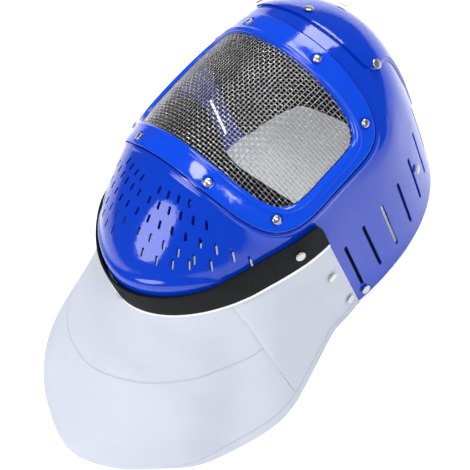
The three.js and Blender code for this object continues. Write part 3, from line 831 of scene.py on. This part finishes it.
def recessCutters():
    b = bezelBuild
    bpy.ops.object.select_all(action="DESELECT")
    bpy.ops.mesh.primitive_cylinder_add(
        vertices=40, radius=b["recessRadius"] * 0.001, depth=b["cutterHeight"] * 0.001,
        location=(0, 0, b["cutterHeight"] * 0.0005))
    dish = bpy.context.active_object
    bpy.ops.object.transform_apply(location=True, rotation=False, scale=False)
    bevelEdges(dish, lambda low, high: low.z < 1 and high.z < 1, b["recessRound"], 3)
    cutters = []
    level = b["flat"] - b["recessDepth"]
    for name, spot, normal in screwSeats():
        cutters.append(copyOf(dish, "recessCutter", standing(spot + normal * level, normal, (0, 0, 1))))
    discard(dish)
    return cutters


cutWith(windowBezel, joinAll(recessCutters()))
smooth(windowBezel, 32)
settle(windowBezel, bezelBlue, ["window_bezel"])
print("bezel made")

# Woven wire mesh: crimped round wires that pass over and under each other
weaveBuild = {"pitch": 3.0, "radius": 0.27, "crimp": 0.38, "step": 1.2, "level": -1.8, "reach": 4.6}


def wireRun(fixed, number, alongX):
    w = weaveBuild
    travel = np.arange(-100, 100 + 0.01, w["step"])
    x = travel if alongX else np.full(len(travel), fixed)
    y = np.full(len(travel), fixed) if alongX else travel
    kept = np.hypot(x, y) < windowRadius(np.degrees(np.arctan2(y, x))) + w["reach"]
    if kept.sum() < 4:
        return None
    x, y, travel = x[kept], y[kept], travel[kept]
    wave = np.cos(math.pi * travel / w["pitch"]) * (1 if number % 2 == 0 else -1)
    sign = 1 if alongX else -1
    return faceOver(x, y, w["level"] + sign * w["crimp"] * wave)


def wovenMesh():
    w = weaveBuild
    curve = bpy.data.curves.new("wovenWires", "CURVE")
    curve.dimensions = "3D"
    curve.bevel_depth = w["radius"] * 0.001
    curve.bevel_resolution = 1
    curve.use_fill_caps = True
    for alongX, half in ((True, 22), (False, 31)):
        for number in range(-half, half + 1):
            run = wireRun(number * w["pitch"], number, alongX)
            if run is None:
                continue
            spline = curve.splines.new("POLY")
            spline.points.add(len(run) - 1)
            flat = np.concatenate([run * 0.001, np.ones((len(run), 1))], axis=1)
            spline.points.foreach_set("co", flat.ravel())
    piece = bpy.data.objects.new("wovenWires", curve)
    sceneObjects.link(piece)
    pick(piece)
    bpy.ops.object.convert(target="MESH")
    bpy.ops.object.shade_smooth()
    return bpy.context.active_object


wovenWires = wovenMesh()
settle(wovenWires, wireSteel, ["wire_mesh"])
print("wire mesh woven:", len(wovenWires.data.polygons), "faces")

# Crown plate: a second skin over the crown with a straight front edge
plateBuild = {
    "spread": 52.5, "reach": 0.76, "front": 81, "half": 70, "corner": 12, "foot": 62, "thick": 2.0,
    "deep": 76, "taper": 0.45, "cutterHeight": 200,
}


def placePlate(across, down):
    p = plateBuild
    angle = 90 + p["spread"] * (1 - 2 * across)
    return shellPoint(angle, down * p["reach"], maskForm["seatGap"] + p["thick"])


crownPlate = gridSheet("crownPlate", 96, 64, placePlate)
useModifier(crownPlate, "SOLIDIFY", thickness=plateBuild["thick"] * 0.001, offset=-1, use_even_offset=True)


def plateTemplate():
    p = plateBuild
    middle = p["front"] + p["deep"] / 2
    tall = p["cutterHeight"]
    template = addBox((0, middle, p["foot"] + tall / 2), (2 * p["half"], p["deep"], tall))
    editMode("DESELECT")
    objectMode()
    for vertex in template.data.vertices:
        vertex.select = vertex.co.y > middle * 0.001
    bpy.ops.object.mode_set(mode="EDIT")
    narrow = 1 - p["taper"] * p["deep"] / p["half"]
    bpy.ops.transform.resize(value=(narrow, 1, 1))
    objectMode()
    bevelEdges(
        template, lambda low, high: abs(low.z - high.z) > tall / 2 and low.y < middle, p["corner"], 8)
    return template


cutWith(crownPlate, plateTemplate(), "INTERSECT")
smooth(crownPlate, 32)
settle(crownPlate, shellBlue, ["crown_plate"])
print("crown plate made")

# Webbing band round the chin, over the top edge of the cloth
bandBuild = {
    "end": 19.3, "width": 26, "thick": 1.8, "lift": 2.1, "corner": 7, "swell": 0.25,
    "columns": 220, "rows": 14,
}


def bandLength(angle):
    steps = np.linspace(-180 + bandBuild["end"], -bandBuild["end"], 400)
    middle = maskForm["throatHeight"] + bandBuild["width"] / 2
    spots = wallPoint(steps, middle, bandBuild["lift"] + bandBuild["thick"] / 2)
    run = np.concatenate([[0], np.cumsum(np.linalg.norm(np.diff(spots, axis=0), axis=1))])
    return np.interp(angle, steps, run), run[-1]


def placeBand(across, down):
    b = bandBuild
    angle = -b["end"] - (180 - 2 * b["end"]) * across
    length, total = bandLength(angle)
    fromEnd = np.clip(np.minimum(length, total - length), 0, b["corner"])
    cut = b["corner"] - np.sqrt(np.maximum(b["corner"] ** 2 - (b["corner"] - fromEnd) ** 2, 0))
    top = maskForm["throatHeight"] + b["width"] - cut
    height = top + (maskForm["throatHeight"] - top) * down
    edge = b["swell"] * (2 * down - 1) ** 6
    return wallPoint(angle, height, b["lift"] + b["thick"] - edge)


def writeAttribute(piece, name, values):
    layer = piece.data.attributes.new(name, "FLOAT", "POINT")
    layer.data.foreach_set("value", np.asarray(values, dtype=np.float32))


chinBand = gridSheet("chinBand", bandBuild["columns"], bandBuild["rows"], placeBand)


def bandMarks(piece):
    spots = spotsOf(piece) * 1000
    angle = np.degrees(np.arctan2(spots[:, 1], spots[:, 0]))
    angle = np.where(angle > 90, angle - 360, angle)
    writeAttribute(piece, "alongBand", bandLength(angle)[0])
    writeAttribute(piece, "acrossBand", spots[:, 2])


bandMarks(chinBand)
useModifier(chinBand, "SOLIDIFY", thickness=bandBuild["thick"] * 0.001, offset=-1, use_even_offset=True)
smooth(chinBand, 50)
settle(chinBand, webbingBlack, ["chin_band"])
print("chin band made")

# Cloth bib in three panels
bibBuild = {
    "cloth": 1.5, "hemReach": 292, "foot": 0.3, "seamAt": -58.5, "seamGap": 0.03, "edgeAt": -19,
    "seamSink": 0.6, "seamWidth": 1.4, "seamBlend": 20, "hemWidth": 7.5, "thick": 1.2,
    # where each panel starts above the band's foot, as a drop, and a distance that draws no seam
    "tuck": -0.9, "noLine": 50.0, "rows": 120,
}
hemTable = smoothTable([
    [-90, 0.99, 0.27], [-83, 0.96, 0.3], [-76, 0.915, 0.31], [-68, 0.862, 0.2], [-60, 0.775, 0],
    [-50, 0.67, 0], [-41, 0.52, 0], [-33, 0.43, 0], [-24, 0.4, 0], [-16, 0.38, 0],
])
leanTable = smoothTable([[-90, 0], [-58.5, 14], [-19, 1.5]])

# Folds: where each runs, how wide it is and how deep at the hem
bibFolds = [(-34, 9, 3), (-72, 8, -3), (-103, 9, -3.5), (-121, 8, 3), (-143, 8, -3)]


def foldDepth(angle):
    return sum(depth * np.exp(-((angle - at) / width) ** 2) for at, width, depth in bibFolds)


def bibPoint(topAngle, drop, side):
    b = bibBuild
    throat = maskForm["throatHeight"]
    lift = maskForm["seatGap"] + side * b["cloth"]
    tucked = wallPoint(topAngle, throat - bandBuild["width"] / 3 * np.minimum(drop, 0), lift)
    fall = np.maximum(drop, 0)
    sign = np.where(np.cos(np.radians(topAngle)) < 0, -1, 1)
    angle = topAngle + sign * leanTable(rightHalf(topAngle))[:, 0] * fall
    top = wallPoint(angle, throat, lift)
    wall = np.hypot(top[:, 0], top[:, 1])
    shares = hemTable(rightHalf(angle))
    spread = b["hemReach"] * shares[:, 0] - wall
    belly = shares[:, 1] * spread * np.sin(math.pi * fall ** 1.5)
    radius = wall + spread * fall + belly + foldDepth(angle) * fall + side * b["cloth"] * fall
    z = throat + (b["foot"] - throat) * fall + side * b["cloth"] * np.sin(math.pi * fall)
    here = wallPoint(angle, np.maximum(z, 1), lift)
    clear = np.maximum(radius, np.hypot(here[:, 0], here[:, 1]))
    turn = np.radians(angle)
    hung = np.stack([clear * np.cos(turn), clear * np.sin(turn), z], axis=1)
    return np.where((drop <= 0)[:, None], tucked, hung)


# How the seam between two panels sways on its way down, and where the front seam lies
seamSway = smoothTable([[0, -0.3], [0.25, 0.9], [0.4, 0.9], [0.66, 0], [0.96, -1.5]])
frontSeamDrop = smoothTable([
    [-122, 0.46], [-105, 0.395], [-97.5, 0.362], [-90, 0.333], [-82, 0.32], [-75.5, 0.328],
    [-72, 0.346], [-69, 0.379], [-66, 0.42], [-63.5, 0.434], [-61, 0.43], [-58.5, 0.421],
])


def runAlong(grid, axis):
    steps = np.linalg.norm(np.diff(grid, axis=axis), axis=2)
    start = np.zeros_like(np.take(steps, [0], axis=axis))
    return np.concatenate([start, np.cumsum(steps, axis=axis)], axis=axis)


def clothPanel(name, node, start, end, columns, acrossLength, frontSeam=False):
    b = bibBuild
    rows = b["rows"]

    def dropOf(down):
        return b["tuck"] + (1 - b["tuck"]) * down

    def place(across, down):
        drop = dropOf(down)
        sway = seamSway(drop)[:, 0]
        angle = end + (start - end) * across
        nearLeft = np.clip(1 - np.abs(angle - b["seamAt"]) / b["seamBlend"], 0, 1)
        nearRight = np.clip(1 - np.abs(angle + 180 + b["seamAt"]) / b["seamBlend"], 0, 1)
        edge = np.minimum(across, 1 - across) * acrossLength
        sink = b["seamSink"] * np.exp(-(edge / b["seamWidth"]) ** 2)
        return bibPoint(angle + sway * (nearLeft - nearRight), drop, 1.0 - sink / b["cloth"])

    piece = gridSheet(name, columns, rows, place)
    grid = spotsOf(piece).reshape(rows + 1, columns + 1, 3) * 1000
    downRun = runAlong(grid, 0)
    acrossRun = runAlong(grid, 1)
    fromHem = downRun[-1] - downRun
    writeAttribute(piece, "downCloth", downRun.ravel())
    writeAttribute(piece, "acrossCloth", acrossRun.ravel())
    writeAttribute(piece, "hemLine", (fromHem - b["hemWidth"]).ravel())
    seam = np.full(grid.shape[:2], b["noLine"])
    if frontSeam:
        share = np.linspace(0, 1, columns + 1)
        seamDrop = frontSeamDrop(end + (start - end) * share)[:, 0]
        drop = dropOf(np.linspace(0, 1, rows + 1))
        steps = np.arange(rows + 1)
        level = np.interp(seamDrop, drop, steps)
        wanted = np.array([np.interp(level[i], steps, downRun[:, i]) for i in range(columns + 1)])
        seam = downRun - wanted
    writeAttribute(piece, "seamLine", seam.ravel())
    wide = np.linalg.norm(np.diff(grid, axis=1), axis=2)[:-1]
    tall = np.linalg.norm(np.diff(grid, axis=0), axis=2)[:, 1:]
    area = float((wide * tall).sum()) * 1e-6
    width = float(acrossRun[:, -1].max()) * 0.001
    length = float(downRun[-1].max()) * 0.001
    print(name, "flat", round(width, 3), round(length, 3), "area", round(area, 4))
    useModifier(piece, "SOLIDIFY", thickness=b["thick"] * 0.001, offset=-1)
    smooth(piece, 50)
    settle(piece, clothWhite, [node])
    return piece, (width, length), min(area, width * length)


seamLeft = bibBuild["seamAt"]
seamRight = -180 - seamLeft
edgeLeft = bibBuild["edgeAt"]
gap = bibBuild["seamGap"]
frontSpan = (seamRight + gap, seamLeft - gap)
leftSpan = (seamLeft + gap, edgeLeft)
rightSpan = (-180 - edgeLeft, seamRight - gap)
bibFront, frontFlat, frontArea = clothPanel("bibFront", "bib_front", *frontSpan, 190, 260, True)
bibLeft, leftFlat, leftArea = clothPanel("bibLeft", "bib_side_left", *leftSpan, 100, 110)
bibRight, rightFlat, rightArea = clothPanel("bibRight", "bib_side_right", *rightSpan, 100, 110)

# Rolled white edge of the cloth that shows just below the band. Its cloth is painted far lighter than the
# bib's: a painted highlight where the edge catches the light
rollBuild = {"radius": 1.3, "drop": 1.2, "lift": 3.4, "end": 19.6}


def placeRoll(across, down):
    r = rollBuild
    angle = -r["end"] - (180 - 2 * r["end"]) * across
    turn = 2 * math.pi * down
    height = maskForm["throatHeight"] - r["drop"] + r["radius"] * np.cos(turn)
    return wallPoint(angle, height, r["lift"] + r["radius"] * np.sin(turn))


bibRoll = gridSheet("bibRoll", 220, 12, placeRoll)
closeUp(bibRoll, 0.00001, caps=True)
plain = bibBuild["noLine"]
for name, value in (("downCloth", 0), ("acrossCloth", 0), ("seamLine", plain), ("hemLine", plain)):
    writeAttribute(bibRoll, name, np.full(len(bibRoll.data.vertices), value))
smooth(bibRoll, 50)
settle(bibRoll, edgeHighlightWhite)
print("bib made")

# Foam lining: soft pads that follow the inside of the shell
padBuild = {
    "thick": 9.0, "softEnd": 7.0, "foot": 1.2, "top": 0.14, "rim": 0.965, "stripFoot": 0.36,
    "browEnd": 18, "crownLine": 89.5,
    "jawEnd": 7.2, "cheekFrom": 29, "cheekFull": 20, "cheekSlope": 0.42, "rearFrom": 15, "rearFull": 7.5,
    "mmPerDegree": 1.9, "fill": 0.7,
}


def browSpan(angle):
    p = padBuild
    return np.full(len(angle), p["top"]), np.full(len(angle), p["rim"])


def crownSwell(angle, along):
    p = padBuild
    lean = np.maximum(np.sin(np.radians(angle)), 0.2)
    spare = rimRadius(angle) - p["crownLine"] / lean - p["thick"] - maskForm["shellWall"]
    return np.maximum(spare, 0) * along ** 2


# The jaw pad is a strip round the chin that drops to the rim at both cheeks
def jawSpan(angle):
    p = padBuild
    fromSide = np.abs(angle + 90) - 90
    cheek = np.clip((fromSide + p["cheekFrom"]) / (p["cheekFrom"] - p["cheekFull"]), 0, 1)
    cheek = cheek * cheek * (3 - 2 * cheek)
    rear = np.clip((fromSide + p["rearFrom"]) / (p["rearFrom"] + p["rearFull"]), 0, 1)
    low = p["stripFoot"] + (p["rim"] - p["stripFoot"]) * cheek
    return p["top"] + p["cheekSlope"] * rear ** 2, low


def foamPad(name, node, start, end, columns, spanOf, swellOf=None):
    p = padBuild
    length = abs(end - start)

    def place(across, down):
        angle = end + (start - end) * across
        high, low = spanOf(angle)
        tip = np.minimum(across, 1 - across) * length * p["mmPerDegree"]
        soft = np.sqrt(np.clip(1 - (1 - np.clip(tip / p["softEnd"], 0, 1)) ** 2, 0, 1))
        turn = 2 * math.pi * down
        wide = np.sign(np.cos(turn)) * np.abs(np.cos(turn)) ** 0.3
        deep = np.sign(np.sin(turn)) * np.abs(np.sin(turn)) ** 0.5
        along = (low + high) / 2 + (low - high) / 2 * wide * (0.5 + 0.5 * soft)
        thick = p["thick"] + (swellOf(angle, along) if swellOf else 0)
        depth = wallDepth(along) + maskForm["seatGap"] + thick / 2 * (1 + deep * soft)
        spot = shellPoint(angle, along, -depth)
        spot[:, 2] = np.maximum(spot[:, 2], p["foot"])
        return spot

    piece = gridSheet(name, columns, 48, place)
    closeUp(piece, 0.00005)
    smooth(piece, 60)
    settle(piece, foamBlack, [node])
    return piece


browEnds = (padBuild["browEnd"], 180 - padBuild["browEnd"])
jawEnds = (-180 - padBuild["jawEnd"], padBuild["jawEnd"])
browPad = foamPad("browPad", "brow_pad", *browEnds, 150, browSpan, crownSwell)
jawPad = foamPad("jawPad", "jaw_pad", *jawEnds, 220, jawSpan)
print("foam made")

# Elastic strap behind the head: it lies on the floor between the cheeks
strapBuild = {
    "front": -32, "back": 8, "thick": 1.6, "level": 2.1, "climb": 26, "curl": 16, "gap": 1.2,
    "endHalf": 97, "endHeight": 14,
}


def strapPlace(across, down):
    s = strapBuild
    y = s["front"] + (s["back"] - s["front"]) * down
    side = np.degrees(np.arctan2(y, s["endHalf"]))
    along = alongAtHeight(side, s["endHeight"])
    inside = wallDepth(along) + maskForm["seatGap"] + padBuild["thick"] + s["gap"]
    wall = shellPoint(side, along, -inside)
    share = 2 * across - 1
    z = s["level"] + s["climb"] * np.abs(share) ** s["curl"]
    return np.stack([share * wall[:, 0], y, z], axis=1)


headStrap = gridSheet("headStrap", 160, 12, strapPlace)
strapSpots = spotsOf(headStrap) * 1000
writeAttribute(headStrap, "alongBand", strapSpots[:, 0])
writeAttribute(headStrap, "acrossBand", strapSpots[:, 1])
useModifier(headStrap, "SOLIDIFY", thickness=strapBuild["thick"] * 0.001, offset=-1)
smooth(headStrap, 50)
settle(headStrap, webbingBlack)
print("head strap made")

# Screws with a cross recess, and domed rivets
fastenerBuild = {
    "screwRadius": 3.5, "screwHeight": 1.8, "screwFlange": 0.35,
    "rivetRadius": 4.2, "rivetHeight": 1.25, "rivetFlange": 0.3,
    "shank": 1.5, "shankLength": 1.6, "crossLong": 1.15, "crossWide": 0.27, "crossDeep": 1.6, "sink": 0.05,
}

# Where rivets sit on the left half; the ones of the right half mirror them. The crown's are seen
# from above, the others by direction, then by height or, on the cloth, by drop
rivetSpots = {
    "crownFront": 88, "crownRear": 119, "crownSide": 63, "bandSide": -32,
    "clothUpper": (-25.2, 0.4), "clothLower": (-23, 0.835),
    "shellFront": (-12.5, 0.09), "shellRear": (38.5, 0.57),
}


def domeHead(name, kind):
    f = fastenerBuild
    radius = f[kind + "Radius"]
    height = f[kind + "Height"]
    flange = f[kind + "Flange"]
    bpy.ops.object.select_all(action="DESELECT")
    bpy.ops.mesh.primitive_uv_sphere_add(
        segments=40, ring_count=24, radius=radius * 0.001, location=(0, 0, 0))
    head = bpy.context.active_object
    head.name = name
    editMode()
    bpy.ops.mesh.bisect(plane_co=(0, 0, 0), plane_no=(0, 0, 1), clear_inner=True, use_fill=False)
    bpy.ops.mesh.select_all(action="SELECT")
    bpy.ops.transform.resize(value=(1, 1, (height - flange) / radius))
    bpy.ops.mesh.select_all(action="DESELECT")
    objectMode()
    for vertex in head.data.vertices:
        vertex.select = abs(vertex.co.z) < 1e-6
    bpy.ops.object.mode_set(mode="EDIT")
    bpy.ops.mesh.select_mode(type="VERT")
    bpy.ops.mesh.extrude_region_move(TRANSFORM_OT_translate={"value": (0, 0, -flange * 0.001)})
    bpy.ops.mesh.extrude_region_move()
    bpy.ops.transform.resize(value=(f["shank"] / radius, f["shank"] / radius, 1))
    bpy.ops.mesh.extrude_region_move(TRANSFORM_OT_translate={"value": (0, 0, -f["shankLength"] * 0.001)})
    bpy.ops.mesh.edge_face_add()
    bpy.ops.mesh.select_all(action="SELECT")
    bpy.ops.transform.translate(value=(0, 0, flange * 0.001))
    bpy.ops.mesh.normals_make_consistent(inside=False)
    objectMode()
    return head


def crossCutter():
    f = fastenerBuild
    height = f["screwHeight"]
    long = f["screwRadius"] * f["crossLong"]
    wide = f["screwRadius"] * f["crossWide"]
    first = addBox((0, 0, height), (long, wide, f["crossDeep"]))
    second = addBox((0, 0, height), (wide, long, f["crossDeep"]))
    cutWith(first, second, "UNION")
    return first


screwMaster = domeHead("screwMaster", "screw")
cutWith(screwMaster, crossCutter())
rivetMaster = domeHead("rivetMaster", "rivet")
smooth(screwMaster, 40)
smooth(rivetMaster, 40)


def seatAt(angle, along, lift):
    return shellPoint(one(angle), along, lift)[0], shellNormal(one(angle), along)[0]


def wallSeat(angle, height, lift):
    return seatAt(angle, alongAtHeight(one(angle), height), lift)


def planSeat(x, y, lift):
    angle = math.degrees(math.atan2(y, x))
    return seatAt(angle, alongAtRadius(one(angle), math.hypot(x, y)), lift)


def clothSeat(angle, drop):
    around = bibPoint(one(angle + 1), one(drop), 1)[0] - bibPoint(one(angle - 1), one(drop), 1)[0]
    down = bibPoint(one(angle), one(drop + 0.02), 1)[0] - bibPoint(one(angle), one(drop - 0.02), 1)[0]
    normal = np.cross(down, around)
    normal /= np.linalg.norm(normal)
    return bibPoint(one(angle), one(drop), 1)[0] + normal * 2 * fastenerBuild["sink"], normal


def allSeats():
    b = bezelBuild
    r = rivetSpots
    sink = fastenerBuild["sink"]
    throat = maskForm["throatHeight"]
    level = b["flat"] - b["recessDepth"] + sink
    seats = [(name, screwMaster, spot + normal * level, normal) for name, spot, normal in screwSeats()]
    plate = maskForm["seatGap"] + plateBuild["thick"] + 2 * sink
    band = bandBuild["lift"] + bandBuild["thick"] + sink
    bandMiddle = throat + bandBuild["width"] / 2
    rivets = {
        "crown_rivet_front": planSeat(0, r["crownFront"], plate),
        "crown_rivet_rear": planSeat(0, r["crownRear"], plate),
        "band_rivet_front": wallSeat(-90, bandMiddle, band),
    }
    for side, sign in (("left", 1), ("right", -1)):
        def mirrored(angle):
            return angle if sign > 0 else 180 - angle

        rivets[f"crown_rivet_{side}"] = planSeat(sign * r["crownSide"], r["crownFront"], plate)
        rivets[f"band_rivet_{side}"] = wallSeat(mirrored(r["bandSide"]), bandMiddle, band)
        for place in ("upper", "lower"):
            angle, drop = r["cloth" + place.title()]
            rivets[f"bib_rivet_{place}_{side}"] = clothSeat(mirrored(angle), drop)
        for place in ("front", "rear"):
            angle, share = r["shell" + place.title()]
            rivets[f"shell_rivet_{place}_{side}"] = wallSeat(mirrored(angle), share * throat, 2 * sink)
    return seats + [(name, rivetMaster, spot, normal) for name, (spot, normal) in rivets.items()]


for name, master, spot, normal in allSeats():
    words = name.split("_")
    pieceName = words[0] + "".join(word.title() for word in words[1:])
    head = copyOf(master, pieceName, standing(spot, normal, (0.2, 0.3, 1)))
    settle(head, nickelPlate, [name])
discard(screwMaster)
discard(rivetMaster)
print("screws and rivets set")
